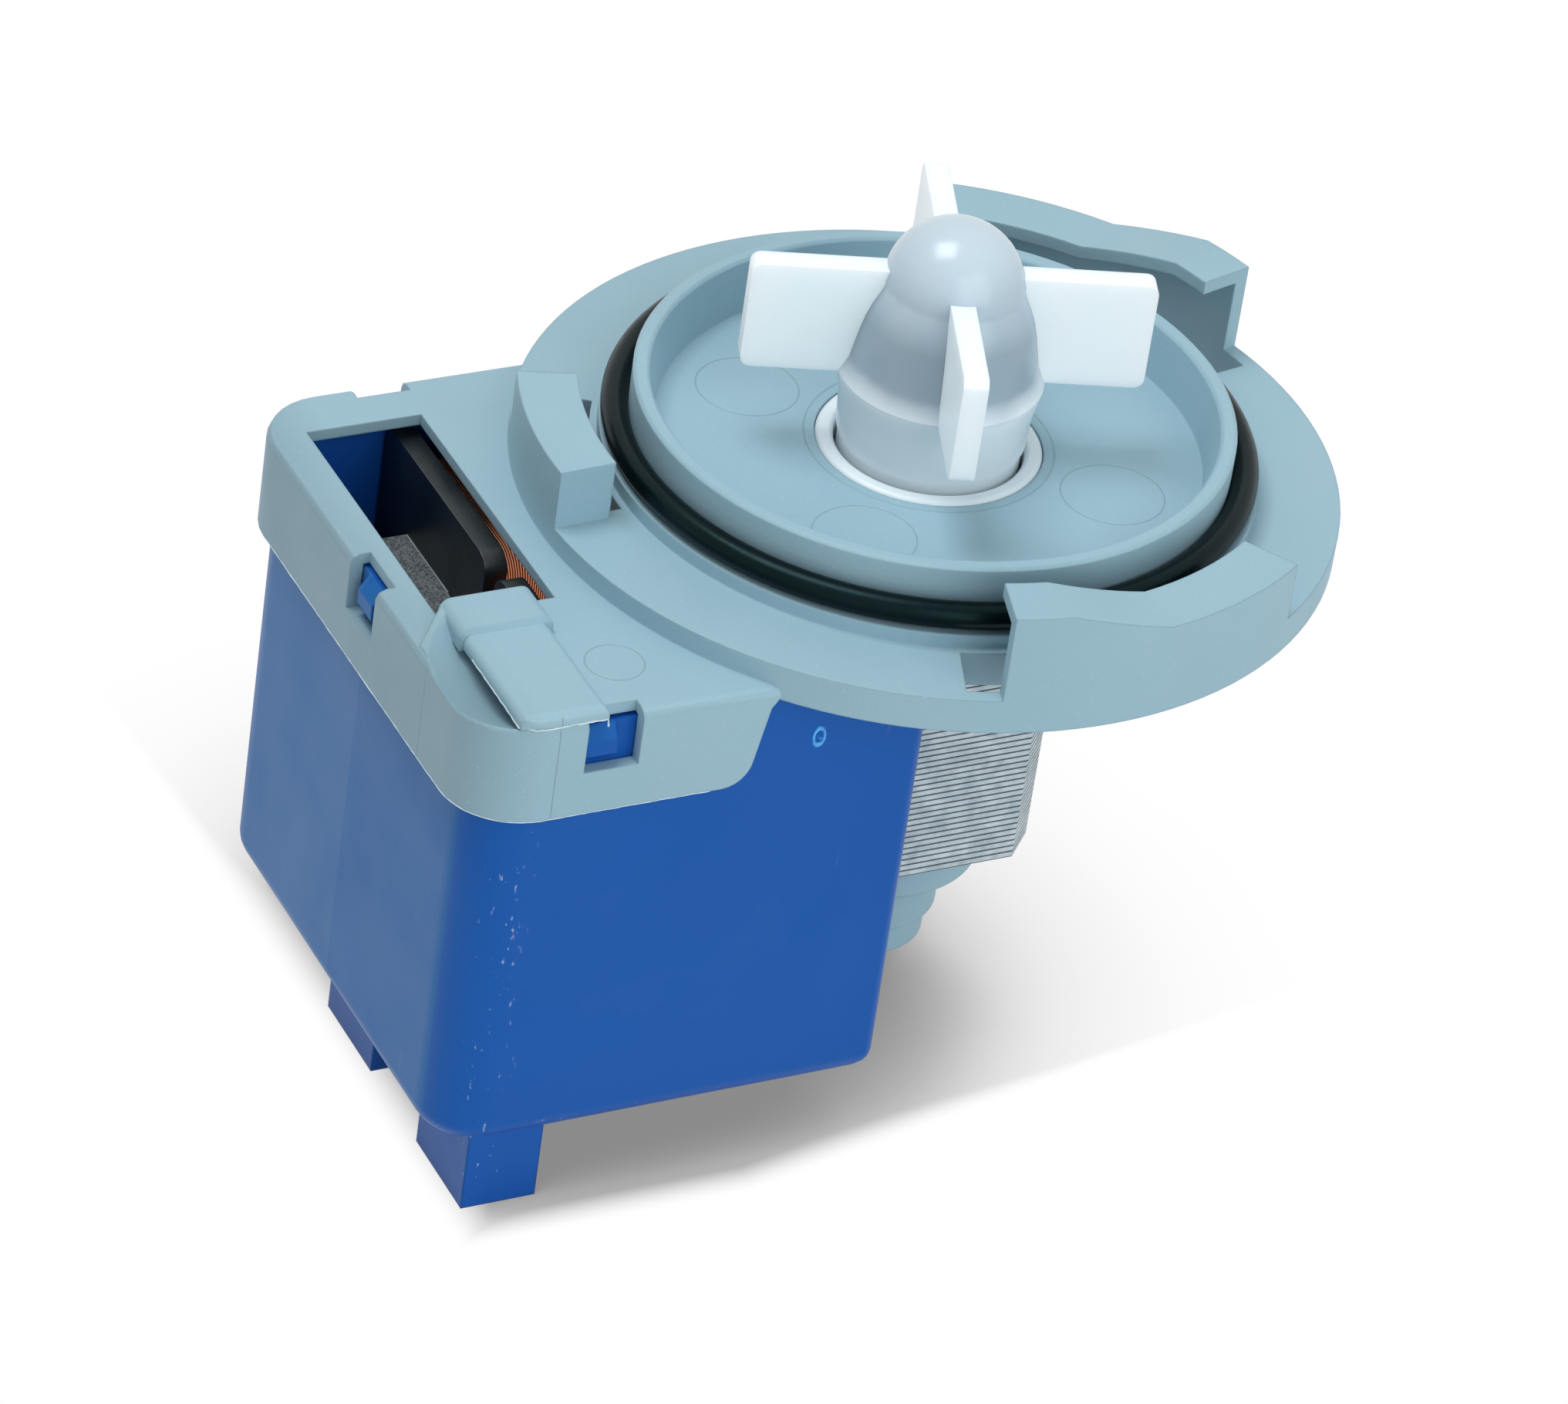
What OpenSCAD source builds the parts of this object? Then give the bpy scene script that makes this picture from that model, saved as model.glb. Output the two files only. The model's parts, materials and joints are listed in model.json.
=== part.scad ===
// Drain pump of a washing machine: a bayonet head with an impeller, and a synchronous motor.
// The pump axis is Z and the impeller points up. The origin is on the axis, at the flange's
// top face. The coil block lies towards -X, and the open face of the cup looks towards +Z.
// Millimetres.

/* [Flange and cup] */
// Outer radius of the flange
flange_r = 40; // [37:0.5:44]
// Thickness of the flange
flange_t = 3.6; // [2.6:0.1:5]
// Outer radius of the spigot rim that enters the pump body
rim_r = 29; // [27:0.25:30]
// Height of the rim above the flange
rim_h = 7.1; // [6:0.1:10]
// Wall of the rim at its top
rim_wall = 1.6; // [1.2:0.1:2.5]
// Height of the cup floor above the flange
floor_z = 1.8; // [0.8:0.1:3]
// Thickness of the cup floor
floor_t = 2.2; // [1.4:0.1:3]
// How far the inside of the cup narrows from the top to the floor
cup_taper = 1; // [0.2:0.1:1.6]

/* [Sealing ring] */
// Cord thickness of the O-ring
oring_cord = 2.62; // [2:0.02:3.2]
// Height of the shoulder that carries the O-ring
seat_h = 1.45; // [0.8:0.05:2]

/* [Bayonet lugs] */
// Gap between the shoulder of the O-ring and the hook plates
lug_gap = 2.48; // [1.6:0.02:3]
// Thickness of the upright wall of a hook
lug_wall = 1.5; // [1:0.1:2.2]
// Thickness of the hook plate
lug_plate = 1.45; // [1:0.05:2]
// Height of the low part of a hook
lug_low_h = 6.2; // [5:0.1:8]
// Height of the raised stop of a hook
lug_high_h = 9.2; // [8.2:0.1:12]
// Angle that a hook covers
lug_span = 48.5; // [40:0.5:56]
// Angle of the raised stop
lug_stop_span = 7.5; // [4:0.5:12]
// Angle of the ramp
lug_ramp_span = 16.5; // [10:0.5:20]
// Direction in which the first hook starts
lug_start = 14; // [8:0.5:20]
// Angle by which the hook beside the coil block is shorter
lug_trim = 23.5; // [16:0.5:26]
// Angle that a core-out hole runs on before its hook
hole_lead = 4.6; // [2:0.1:8]

/* [Rotor chamber] */
// Outer radius of the chamber inside the core
chamber_r = 11.1; // [10.6:0.05:12]
// Wall of the chamber
chamber_wall = 1.2; // [0.9:0.05:1.5]
// Outer radius of the neck above the core
neck_r = 14.5; // [13.5:0.1:16]
// Depth of the chamber's wide part under the flange
chamber_depth = 44.8; // [43:0.1:50]
// Outer radius of the rear boss
boss_r = 7.75; // [7.5:0.05:9]
// Length of the rear boss
boss_l = 6.65; // [6.4:0.05:9]
// Outer radius of the end cap of the boss
tip_r = 6.85; // [6:0.05:7.2]
// Length of the end cap of the boss
tip_l = 3.55; // [3:0.05:5]

/* [Cover over the coils] */
// Distance from the pump axis to the left face of the cover
cover_left = 58.75; // [58:0.25:62]
// Half of the width of the cover
cover_half_w = 28.25; // [28.25:0.25:31]
// Corner radius of the cover in plan
cover_corner_r = 7.1; // [5:0.1:9]
// Depth of the cover's top under the flange's top face
cover_drop = 2.2; // [1.6:0.1:2.6]
// Thickness of the cover's top
cover_t = 1.2; // [1:0.1:1.4]
// Wall of the skirt
skirt_wall = 1.35; // [1:0.05:1.6]
// Height of the skirt under the cover's top
skirt_h = 10.6; // [9:0.1:13]
// Distance from the pump axis to the skirt's right end
skirt_end = 29.2; // [28:0.1:32]
// Radius of the cover's top edge
cover_edge_r = 1; // [0.4:0.1:1.4]
// Width of the opening in the cover's top, along X
opening_w = 11.9; // [9:0.1:13]
// Length of the opening in the cover's top, along Y
opening_l = 31.4; // [26:0.1:33]
// Distance of the opening from the cover's left face
opening_inset = 3.85; // [3:0.05:5]
// Distance of the opening from the cover's back face
opening_back = 6.15; // [5:0.05:9]
// Width of the snap windows
snap_w = 5.5; // [4.8:0.1:7]
// Height of the snap windows under the cover's top
snap_h = 5.9; // [5:0.1:7]
// Distance of the front and back snap windows from the cover's left face
snap_inset = 13.65; // [11:0.05:16]

/* [Cable hook] */
// Width of the hook's tongue, along X
tongue_w = 8.6; // [7:0.1:10]
// Rise of the back part of the tongue over the cover's top
tongue_rise = 1.9; // [1.5:0.1:2.4]
// Length of the raised back part of the tongue
tongue_back_l = 4.9; // [4:0.1:6]
// Step down from the back part of the tongue
tongue_step = 0.65; // [0.3:0.05:1]
// Thickness of the tongue
tongue_t = 1.35; // [1:0.05:1.6]
// Depth of the cable pocket under the cover's top
pocket_depth = 2.6; // [1.5:0.1:3]

/* [Coil housing] */
// Depth of the housing's bottom under the flange's top face
housing_depth = 52; // [50:0.25:58]
// Wall of the housing
housing_wall = 1.5; // [1.2:0.05:1.6]
// Distance from the pump axis to the housing's right face
housing_end = 11.35; // [11.35:0.05:11.6]
// Radius of the housing's bottom edge
housing_edge_r = 2.5; // [1.5:0.1:4]
// Length of a terminal shroud under the housing
shroud_h = 7.8; // [6:0.1:10]
// Width of a terminal shroud, along X
shroud_w = 7.7; // [6.4:0.1:9]
// Length of a terminal shroud, along Y
shroud_l = 10.7; // [9.6:0.1:12]
// Wall of a terminal shroud
shroud_wall = 1.1; // [0.8:0.05:1.4]
// Distance between the two terminals
terminal_pitch = 21.85; // [20:0.05:24]
// Width of a spade terminal
spade_w = 6.3; // [4.8:0.1:6.3]
// Thickness of a spade terminal
spade_t = 0.8; // [0.5:0.1:1]

/* [Core and coils] */
// Thickness of one lamination of the core
sheet_t = 0.676; // [0.65:0.001:0.7]
// Number of laminations
sheets = 34; // [30:1:34]
// Depth of the groove between two laminations
sheet_groove = 0.12; // [0.06:0.01:0.2]
// Width of one leg of the core
leg_w = 10; // [8.5:0.1:10.5]
// Width of the closing yoke, along X
yoke_w = 10.4; // [8:0.1:10.6]
// Distance from the pump axis to the core's right face
core_end = 8.9; // [7.5:0.1:9.5]
// Chamfer at the core's right corners
core_chamfer = 3.1; // [1.5:0.1:4]
// Radial gap between the chamber and the poles
pole_gap = 0.3; // [0.2:0.05:0.6]
// Depth of the step in the pole faces
pole_step = 0.8; // [0.4:0.05:1.2]
// Thickness of the bobbin flanges
bobbin_t = 2.4; // [1.5:0.1:2.8]
// Corner radius of the bobbin flanges
bobbin_corner_r = 2; // [1.5:0.1:4]
// Height of the bobbin flanges
bobbin_h = 39.8; // [38:0.1:39.8]
// Wall of the bobbin tube
bobbin_wall = 1.2; // [0.8:0.05:1.5]
// Depth of the winding's surface under the edge of the bobbin flanges
winding_inset = 2; // [0.8:0.1:3]
// Half of the gap between the two bobbins
bobbin_gap = 1; // [0.5:0.1:1.5]

/* [Rotor] */
// Radius of the shaft
shaft_r = 2; // [1.5:0.05:2.3]
// Outer radius of the magnet
magnet_r = 9.3; // [8.5:0.05:9.4]
// Length of the magnet
magnet_l = 23.4; // [20:0.1:24]
// Bore radius of the magnet
magnet_bore_r = 4.2; // [3.6:0.05:5]
// Thickness of the magnet's end plates
end_plate_t = 1.2; // [0.8:0.05:1.5]
// Radial running gap of the bushes on the shaft
running_gap = 0.05; // [0.02:0.005:0.08]
// Outer radius of the bushes
bush_r = 4.45; // [4:0.05:5]

/* [Impeller] */
// Radius to the blade tips
blade_tip_r = 19.4; // [17:0.1:22]
// Thickness of a blade
blade_t = 2.4; // [1.8:0.1:3]
// Height of a blade's lower edge above the flange
blade_z0 = 9.9; // [9.6:0.1:11]
// Height of a blade's upper edge above the flange
blade_z1 = 21.3; // [21:0.1:23]
// Radius of the blades' outer corners
blade_corner_r = 1; // [0.6:0.1:2]
// Direction of the first blade
blade_start = -20.5; // [-30:0.5:-10]
// Radius of the hub under the blades
hub_r = 8.85; // [8.7:0.05:9]
// Radius of the lip over the skirt of the hub
lip_r = 10; // [9.6:0.05:10.4]
// Height of the hub's dome above the flange
dome_z = 26.2; // [25.4:0.1:27]
// Radius of the hub's dome
dome_r = 6.8; // [6.6:0.05:7.2]
// Wall of the hub
hub_wall = 1.4; // [1.1:0.05:1.6]
// Free turn of the impeller on the rotor, in degrees
free_turn = 150; // [90:5:160]
// Angle of the rotor's driving dog
dog_span = 90; // [60:1:95]

/* [Hidden] */
$fn = 96;
// Overlap of shapes that are joined or cut
eps = 0.02;
// Clearance between pieces that are fitted together and don't move
fit_gap = 0.05;

// Seal
oring_r = rim_r + fit_gap + oring_cord / 2;
oring_z = seat_h + fit_gap + oring_cord / 2;
seat_r = oring_r + oring_cord / 2 + fit_gap;

// Cup
cup_top_r = rim_r - rim_wall;
cup_floor_r = cup_top_r - cup_taper;
cup_wall_r = cup_floor_r - 0.6;

// Lugs
lug_pitch = 120;
lug_inner_r = seat_r + lug_gap;
lug_wall_r = flange_r - lug_wall;
hole_inner_r = seat_r + 0.7;
end_wall_span = 1.7;

// Cover and housing in plan. The housing slides into the skirt with a small gap.
cover_top_z = -cover_drop;
cover_inner_z = cover_top_z - cover_t;
skirt_z = cover_top_z - skirt_h;
housing_gap = 0.1;
housing_left = cover_left - skirt_wall - housing_gap;
housing_half_w = cover_half_w - skirt_wall - housing_gap;
housing_corner_r = cover_corner_r - skirt_wall - housing_gap;
housing_top_z = -max(flange_t, cover_drop + cover_t) - housing_gap;
opening_x0 = -cover_left + opening_inset;
opening_y1 = cover_half_w - opening_back;
opening_y0 = opening_y1 - opening_l;
snap_x = -cover_left + snap_inset;
snap_y = -0.95;
left_snap_w = snap_w + 0.4;
snap_z = cover_top_z - snap_h;
snap_notch = 1.95;
tab_w = 3.3;
tab_x = snap_x - snap_w / 2 + housing_gap + tab_w / 2;
tab_rise = skirt_wall * 0.75;

// Cable hook. The pocket is a bowl under the tongue.
tongue_x0 = opening_x0 + 0.3;
tongue_x1 = tongue_x0 + tongue_w;
tongue_y0 = -cover_half_w - 0.1;
tongue_y1 = opening_y0 + 0.1;
hump_z = cover_top_z + tongue_rise;
tongue_z = hump_z - tongue_step;
bowl_r = 14.6;
bowl_centre = [-cover_left + 6.9, -cover_half_w + 8.35, cover_top_z - pocket_depth + bowl_r];

// Core. The neck of the chamber stands on its top sheet.
core_top_z = -13;
core_h = sheets * sheet_t;
core_bottom_z = core_top_z - core_h;
core_mid_z = core_top_z - core_h / 2;
pole_r = chamber_r + pole_gap;
bobbin_outer_y = housing_half_w - housing_wall - 0.3;
leg_mid_y = (bobbin_outer_y + bobbin_gap) / 2;
core_half_w = leg_mid_y + leg_w / 2;
pole_split = 4;
pole_slope = 3;
yoke_left = housing_left - housing_wall - 0.2;
yoke_right = yoke_left - yoke_w;
sheet_line = 0.06;

// Bobbins and coils
bobbin_left = yoke_right - fit_gap;
bobbin_right = neck_r + 0.3;
bobbin_half_w = (bobbin_outer_y - bobbin_gap) / 2;
tube_half_y = leg_w / 2 + fit_gap + bobbin_wall;
tube_half_z = core_h / 2 + fit_gap + bobbin_wall;
winding_half_y = bobbin_half_w - winding_inset;
winding_half_z = bobbin_h / 2 - winding_inset;
winding_corner_r = 3.2;

// Chamber
chamber_z = -chamber_depth;
boss_z = chamber_z - boss_l;
tip_z = boss_z - tip_l;
chamber_bore_r = chamber_r - chamber_wall;
chamber_floor_z = chamber_z + chamber_wall;
carrier_r = 11;
carrier_bore_r = carrier_r + fit_gap;
carrier_seat_z = core_top_z + 0.8;
carrier_top_z = floor_z + 0.25;
carrier_z0 = carrier_seat_z + fit_gap;
carrier_web_z = carrier_z0 + 5.6;
carrier_inner_r = hub_r + 0.35;
seal_cord = 1.8;
seal_z = carrier_z0 + 2.6;
seal_groove = 1.7;
rubber_r = boss_r - 1.35;
rubber_z0 = boss_z + 1.2;
rear_bush_z0 = rubber_z0 + 0.4;

// Rotor
plate_gap = 1.9;
plate_z1 = carrier_seat_z - plate_gap;
magnet_z1 = plate_z1 - end_plate_t;
magnet_z0 = magnet_z1 - magnet_l;
plate_z0 = magnet_z0 - end_plate_t;
front_bush_z0 = carrier_z0 - 0.9;
bush_overlap = 2;
rear_bush_z1 = chamber_floor_z + bush_overlap;
washer_r = 3.9;
washer_t = 0.8;
shaft_z0 = rear_bush_z0 - 0.6;
shaft_grip = 5.6;
shaft_z1 = blade_z0 + shaft_grip;
bush_bore_r = shaft_r + running_gap;

// Coupling of the rotor and the impeller
skirt_z0 = carrier_web_z + 1;
hub_inner_r = hub_r - hub_wall;
driver_r = 4.2;
driver_foot = 2.2;
dog_r = hub_inner_r - 0.25;
dog_foot = 3.6;
dog_h = 7.8;
dog_z0 = skirt_z0 + dog_foot;
dog_z1 = dog_z0 + dog_h;
pad_span = 4;
play_gap = 1;
stop_span = 360 - dog_span - 2 * pad_span - free_turn - 2 * play_gap;
stop_r0 = driver_r + 0.3;
post_r = shaft_r + 1.8;
cavity_z1 = dog_z1 + 0.6;
dome_centre_z = dome_z - dome_r;
dome_wall = 1.6;
dome_z0 = dome_centre_z + 1.7;

// Terminals
terminal_x = -housing_left + 3.8 + shroud_w / 2;
terminal_y = [-housing_half_w + 0.8 + shroud_l / 2,
              -housing_half_w + 0.8 + shroud_l / 2 + terminal_pitch];
housing_z0 = -housing_depth;
shroud_z0 = housing_z0 - shroud_h;
spade_z0 = shroud_z0 + 1.3;
lead_r = 0.6;
coil_bottom_z = core_mid_z - winding_half_z;
coil_left_x = -bobbin_left + bobbin_t + 3;
lead_y = [-leg_mid_y - 4, leg_mid_y - 6];
lead_z = core_mid_z - bobbin_h / 2 - lead_r - 0.2;
spade_z1 = lead_z - lead_r - fit_gap;
cutout_l = 12;
cutout_w = 8;
cutout_h = 3.5;

function arc_points(cx, cy, r, a0, a1, n) =
    [for (i = [0:n]) let (a = a0 + (a1 - a0) * i / n) [cx + r * cos(a), cy + r * sin(a)]];

// Outline of a rectangle with round corners
function round_rect(x0, x1, y0, y1, r, n = 8) = concat(
    arc_points(x1 - r, y1 - r, r, 0, 90, n),
    arc_points(x0 + r, y1 - r, r, 90, 180, n),
    arc_points(x0 + r, y0 + r, r, 180, 270, n),
    arc_points(x1 - r, y0 + r, r, 270, 360, n)
);

module slab(points, z0, z1) {
    translate([0, 0, z0]) linear_extrude(z1 - z0) polygon(points);
}

module disc(r, z0, z1) {
    translate([0, 0, z0]) cylinder(r = r, h = z1 - z0);
}

module ring(r0, r1, z0, z1) {
    difference() {
        disc(r1, z0, z1);
        disc(r0, z0 - 1, z1 + 1);
    }
}

// Wedge between two angles, up to radius r
module wedge(r, a0, a1, z0, z1) {
    slab(concat([[0, 0]], arc_points(0, 0, 2 * r, a0, a1, 2)), z0, z1);
}

// Part of a ring between two angles
module ring_sector(r0, r1, a0, a1, z0, z1) {
    intersection() {
        ring(r0, r1, z0, z1);
        wedge(r1, a0, a1, z0 - 1, z1 + 1);
    }
}

// Side view of a hook with its raised stop, ramp and low part, lowered by drop
function lug_profile(drop) = let (
    ramp = (lug_inner_r + flange_r) / 2 * sin(lug_ramp_span / 2),
    far = 2 * flange_r
) [
    [-far, lug_high_h - drop], [-ramp, lug_high_h - drop], [ramp, lug_low_h - drop],
    [far, lug_low_h - drop], [far, -far], [-far, -far]
];

// Part of a ring under the top line of a hook
module lug_sweep(r0, r1, a0, a1, z0, drop) {
    intersection() {
        ring(r0, r1, z0, lug_high_h + 1);
        rotate(lug_stop_span + lug_ramp_span / 2) rotate([90, 0, 90])
            linear_extrude(2 * flange_r) polygon(lug_profile(drop));
        wedge(r1, a0, a1, z0 - 1, lug_high_h + 2);
    }
}

// The space under a hook goes on downwards as a core-out hole through the flange
module lug_holes() {
    for (i = [0:2]) rotate(lug_start + i * lug_pitch)
        lug_sweep(hole_inner_r, lug_wall_r, i == 1 ? lug_trim - 2 * hole_lead : -hole_lead,
            lug_span - end_wall_span, cover_inner_z - 1, lug_plate);
}

// Flange and hooks, cut from one thick ring
module flange() {
    difference() {
        ring(cup_wall_r, flange_r, -flange_t, lug_high_h);
        difference() {
            disc(flange_r + 1, 0, lug_high_h + 2);
            for (i = [0:2]) rotate(lug_start + i * lug_pitch)
                lug_sweep(lug_inner_r, flange_r + 3, i == 1 ? lug_trim : 0, lug_span, -1, 0);
        }
    }
}

// Rim, cup floor, shoulder under the O-ring and the collar round the bearing carrier
module cup() {
    rotate_extrude() polygon([
        [carrier_bore_r, -flange_t], [carrier_bore_r, floor_z],
        [cup_floor_r, floor_z], [cup_top_r, rim_h - 0.3], [cup_top_r + 0.3, rim_h],
        [rim_r - 0.3, rim_h], [rim_r, rim_h - 0.3], [rim_r, seat_h],
        [seat_r, seat_h], [seat_r, -flange_t], [cup_wall_r, -flange_t],
        [cup_wall_r, floor_z - floor_t], [neck_r, floor_z - floor_t], [neck_r, -flange_t]
    ]);
}

// Closed can of the rotor, which stands in the core and meets the cup's collar
module rotor_chamber() color("#9fbdc8") difference() {
    rotate_extrude() polygon([
        [0, tip_z], [tip_r - 0.3, tip_z], [tip_r, tip_z + 0.3], [tip_r, boss_z],
        [boss_r - 0.3, boss_z], [boss_r, boss_z + 0.3], [boss_r, chamber_z],
        [chamber_r - 0.3, chamber_z], [chamber_r, chamber_z + 0.3],
        [chamber_r, core_top_z], [neck_r, core_top_z], [neck_r, -flange_t], [0, -flange_t]
    ]);
    disc(carrier_bore_r, carrier_seat_z, 0);
    disc(chamber_bore_r, chamber_floor_z, carrier_seat_z + eps);
    disc(rubber_r + fit_gap, rubber_z0, chamber_floor_z + eps);
    disc(bush_r, tip_z + 1.4, rubber_z0 + eps);
}

function cover_outline(inset) = round_rect(-cover_left + inset, 0,
    -cover_half_w + inset, cover_half_w - inset, cover_corner_r - inset);

// Side view of the cover: the skirt slants and rounds off at its right end
function cover_profile() = concat(
    [[-cover_left - 1, cover_top_z + 1], [-skirt_end + 2, cover_top_z + 1],
     [-skirt_end + 0.6, -flange_t + eps], [-skirt_end, -flange_t - 0.8]],
    arc_points(-skirt_end - 1.1 - 3, skirt_z + 3, 3, -8, -90, 6),
    [[-cover_left - 1, skirt_z]]
);

module cover_block(inset, top_z) {
    edge = cover_edge_r;
    hull() {
        slab(cover_outline(inset), skirt_z - 1, top_z - edge);
        slab(cover_outline(inset + edge * 0.3), top_z - edge, top_z - edge * 0.3);
        slab(cover_outline(inset + edge), top_z - edge * 0.3, top_z);
    }
}

module side_prism(points, y0, y1) {
    translate([0, y1, 0]) rotate([90, 0, 0]) linear_extrude(y1 - y0) polygon(points);
}

// Bowl of the cable pocket under the tongue, larger all round by extra
module pocket(extra) {
    intersection() {
        translate(bowl_centre) sphere(r = bowl_r + extra);
        translate([-cover_left - 2, -cover_half_w + 0.6 - extra, cover_top_z - pocket_depth - extra])
            cube([cover_left + 2 + tongue_x1 - 2.4 + extra, cover_half_w + opening_y0 - 1.4,
                pocket_depth + tongue_rise + extra]);
    }
}

module cover() {
    difference() {
        intersection() {
            cover_block(0, cover_top_z);
            side_prism(cover_profile(), -cover_half_w - 1, cover_half_w + 1);
        }
        difference() {
            slab(cover_outline(skirt_wall), skirt_z - 2, cover_inner_z);
            pocket(cover_t);
        }
    }
}

module cover_opening() {
    translate([opening_x0, opening_y0, cover_inner_z - 1])
        cube([opening_w, opening_l, cover_t + 2]);
}

// Windows through the skirt that the tabs of the housing snap into
module snap_windows() {
    for (side = [-1, 1])
        translate([snap_x - snap_w / 2, side > 0 ? cover_half_w - snap_notch : -cover_half_w - 1,
            snap_z]) cube([snap_w, snap_notch + 1, snap_h + 1]);
    translate([-cover_left - 1, snap_y - left_snap_w / 2, snap_z])
        cube([snap_notch + 1, left_snap_w, snap_h + 1]);
}

// Bar along Y with round upper corners, cut from the side view given by points [y, z]
module hook_bar(x0, x1, z0, z1, r, points) {
    intersection() {
        side_prism(concat([[x1, z0]], arc_points(x1 - r, z1 - r, r, 0, 90, 6),
            arc_points(x0 + r, z1 - r, r, 90, 180, 6), [[x0, z0]]), tongue_y0 - 1, tongue_y1 + 1);
        translate([x0 - 1, 0, 0]) rotate([90, 0, 90]) linear_extrude(x1 - x0 + 2) polygon(points);
    }
}

// Hook for a cable: a raised back part and a lower tongue before it, which ends over the skirt
module cable_hook() {
    step_y = tongue_y1 - tongue_back_l;
    hook_bar(tongue_x0 - 0.3, tongue_x1 + 0.5, cover_top_z - 0.4, hump_z, 1.25, [
        [step_y - 0.3, cover_top_z - 1], [tongue_y1, cover_top_z - 1], [tongue_y1, hump_z + 1],
        [step_y, hump_z + 1], [step_y, hump_z], [step_y - 0.3, tongue_z]
    ]);
    intersection() {
        slab(cover_outline(-0.1), cover_top_z - 2, hump_z);
        hook_bar(tongue_x0, tongue_x1, tongue_z - tongue_t, tongue_z, 0.9, concat(
            [[step_y, cover_top_z - 1], [step_y, tongue_z]],
            arc_points(tongue_y0 + 1.2, tongue_z - 1.2, 1.2, 90, 165, 5),
            [[tongue_y0, cover_top_z - 1]]
        ));
    }
}

// Slope that leads from the left face of the cover up to the hook
module hook_slope() {
    y1 = tongue_y1 - 0.3;
    y0 = tongue_y1 - tongue_back_l - 2.2;
    hull() {
        slab([[tongue_x0 - 0.9, y1], [-cover_left + 0.5, y1 - 3.5], [-cover_left + 0.5, y0],
              [tongue_x0 + 1, y0], [tongue_x0 + 1, y1]], cover_top_z - 0.3, cover_top_z - 0.05);
        slab([[tongue_x0 - 0.2, y1], [tongue_x0 - 0.2, y0], [tongue_x0 + 1, y0],
              [tongue_x0 + 1, y1]], cover_top_z, hump_z - 0.6);
    }
}

module head_moulding() color("#9fbdc8") union() {
    difference() {
        union() {
            flange();
            cup();
            cover();
            hook_slope();
        }
        snap_windows();
        pocket(0);
        lug_holes();
        cover_opening();
    }
    cable_hook();
}

module torus(r, cord, z) {
    translate([0, 0, z]) rotate_extrude() translate([r, 0]) circle(d = cord, $fn = 32);
}

module flange_o_ring() color("#15191b") torus(oring_r, oring_cord, oring_z);

// Carrier of the front bush. Its rim shows round the impeller's hub.
module bearing_carrier() color("#dfe6e6") difference() {
    rotate_extrude() polygon([
        [bush_r + fit_gap, carrier_z0], [carrier_r - 0.4, carrier_z0],
        [carrier_r, carrier_z0 + 0.4], [carrier_r, seal_z - seal_cord / 2],
        [carrier_r - seal_groove, seal_z - seal_cord / 2],
        [carrier_r - seal_groove, seal_z + seal_cord / 2], [carrier_r, seal_z + seal_cord / 2],
        [carrier_r, carrier_top_z - 0.4], [carrier_r - 0.4, carrier_top_z],
        [carrier_inner_r + 0.4, carrier_top_z], [carrier_inner_r, carrier_top_z - 0.4],
        [carrier_inner_r, carrier_web_z], [bush_r + fit_gap, carrier_web_z]
    ]);
}

module carrier_seal() color("#15191b")
    torus(carrier_r - seal_cord * 0.45 - fit_gap, seal_cord * 0.9, seal_z);

module front_bush() color("#4a4844")
    ring(bush_bore_r, bush_r, front_bush_z0, carrier_web_z - 0.3);

module rear_bush() color("#4a4844")
    ring(bush_bore_r, bush_r, rear_bush_z0, rear_bush_z1);

module rear_bush_rubber() color("#1b1e20") difference() {
    disc(rubber_r, rubber_z0 + fit_gap, chamber_floor_z - 0.2);
    disc(bush_r + fit_gap, rear_bush_z0 - fit_gap, chamber_floor_z + 1);
    disc(shaft_r + 0.6, rubber_z0 - 1, chamber_floor_z + 1);
}

module rotor_shaft() color("#c9ccce") disc(shaft_r, shaft_z0, shaft_z1);

module rotor_magnet() color("#33363a")
    ring(magnet_bore_r, magnet_r, magnet_z0, magnet_z1);

module rotor_sleeve() color("#e9e6da")
    ring(shaft_r + fit_gap, magnet_bore_r - fit_gap, plate_z0, plate_z1);

module end_plate(z0) {
    ring(magnet_bore_r, magnet_r - 0.2, z0, z0 + end_plate_t);
}

module front_end_plate() color("#e9e6da") end_plate(magnet_z1);

module rear_end_plate() color("#e9e6da") end_plate(plate_z0);

module front_thrust_washer() color("#b8bcbe")
    ring(shaft_r + fit_gap, washer_r, plate_z1, front_bush_z0 - running_gap);

module rear_thrust_washer() color("#b8bcbe")
    ring(shaft_r + fit_gap, washer_r, rear_bush_z1 + running_gap, plate_z0);

// Driver of the impeller, fixed on the shaft. Its dog turns the impeller after a free turn.
module coupling_driver() color("#e9e6da") difference() {
    union() {
        disc(driver_r, dog_z0 - driver_foot, dog_z1 + 0.3);
        rotate(blade_start) ring_sector(driver_r - 1, dog_r, 0, dog_span, dog_z0, dog_z1);
    }
    disc(shaft_r + fit_gap, dog_z0 - 2 * driver_foot, dog_z1 + driver_foot);
}

// Rubber pads on both sides of the driver's dog
module coupling_damper() color("#1b1e20") rotate(blade_start)
    for (a = [-pad_span, dog_span])
        ring_sector(driver_r + fit_gap, dog_r, a, a + pad_span, dog_z0, dog_z1);

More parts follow.
